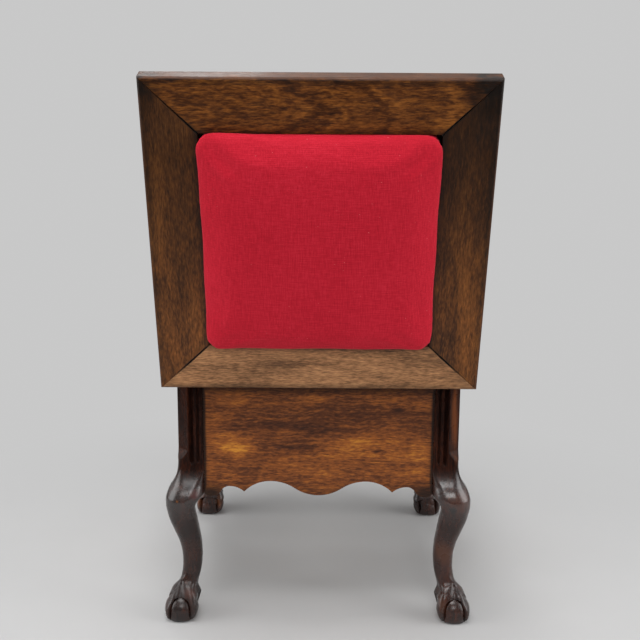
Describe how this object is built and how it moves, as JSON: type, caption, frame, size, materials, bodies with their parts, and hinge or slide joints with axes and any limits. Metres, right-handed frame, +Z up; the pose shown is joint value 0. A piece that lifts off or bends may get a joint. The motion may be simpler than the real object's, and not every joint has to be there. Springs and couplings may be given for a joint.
{
  "type": "shoe shine footstool",
  "caption": "Square footstool with a hinged padded lid over a storage box with a shoe rest, on cabriole legs with ball-and-claw feet.",
  "frame": {"origin": "on the floor, under the middle of the box", "axes": "+Z up, +X to the right seen from the hinge side, +Y from the hinges towards the front of the stool"},
  "size_m": [0.4724, 0.6061, 0.8218],
  "materials": {
    "leg_wood": "dark glossy stained hardwood",
    "panel_wood": "satin orange-brown mahogany with a strong level grain",
    "lid_wood": "satin dark walnut brown",
    "inner_wood": "plain unpolished wood",
    "cover_fabric": "matt crimson woven cloth",
    "stuffing": "loose cotton stuffing",
    "hinge_brass": "aged brass",
    "fastener_steel": "dull steel"
  },
  "bodies": {
    "base": {"leg_rear_left": "leg_wood", "leg_rear_right": "leg_wood", "leg_front_left": "leg_wood", "leg_front_right": "leg_wood", "panel_rear": "panel_wood", "panel_right": "panel_wood", "panel_front": "panel_wood", "panel_left": "panel_wood", "bottom_board": "inner_wood", "cleat_rear": "inner_wood", "cleat_right": "inner_wood", "cleat_front": "inner_wood", "cleat_left": "inner_wood", "cleat_screws": "fastener_steel", "shoe_rest_pedestal": "inner_wood", "shoe_rest_sole": "inner_wood", "shoe_rest_heel": "inner_wood", "shoe_rest_screws": "fastener_steel", "hinge_leaf_box_left": "hinge_brass", "hinge_leaf_box_right": "hinge_brass", "hinge_pin_left": "hinge_brass", "hinge_pin_right": "hinge_brass", "hinge_screws_box": "hinge_brass"},
    "lid": {"lid_rail_rear": "lid_wood", "lid_rail_front": "lid_wood", "lid_stile_left": "lid_wood", "lid_stile_right": "lid_wood", "mitre_splines": "inner_wood", "seat_board": "inner_wood", "seat_stuffing": "stuffing", "seat_cover": "cover_fabric", "cover_tacks": "fastener_steel", "seat_screws": "fastener_steel", "hinge_leaf_lid_left": "hinge_brass", "hinge_leaf_lid_right": "hinge_brass", "hinge_screws_lid": "hinge_brass"}
  },
  "joints": [
    {"name": "lid_hinge", "type": "hinge", "parent": "base", "child": "lid", "pos_m": [0, -0.21523, 0.39715], "axis": [1, 0, 0], "range_deg": [-106.83, 0]}
  ]
}
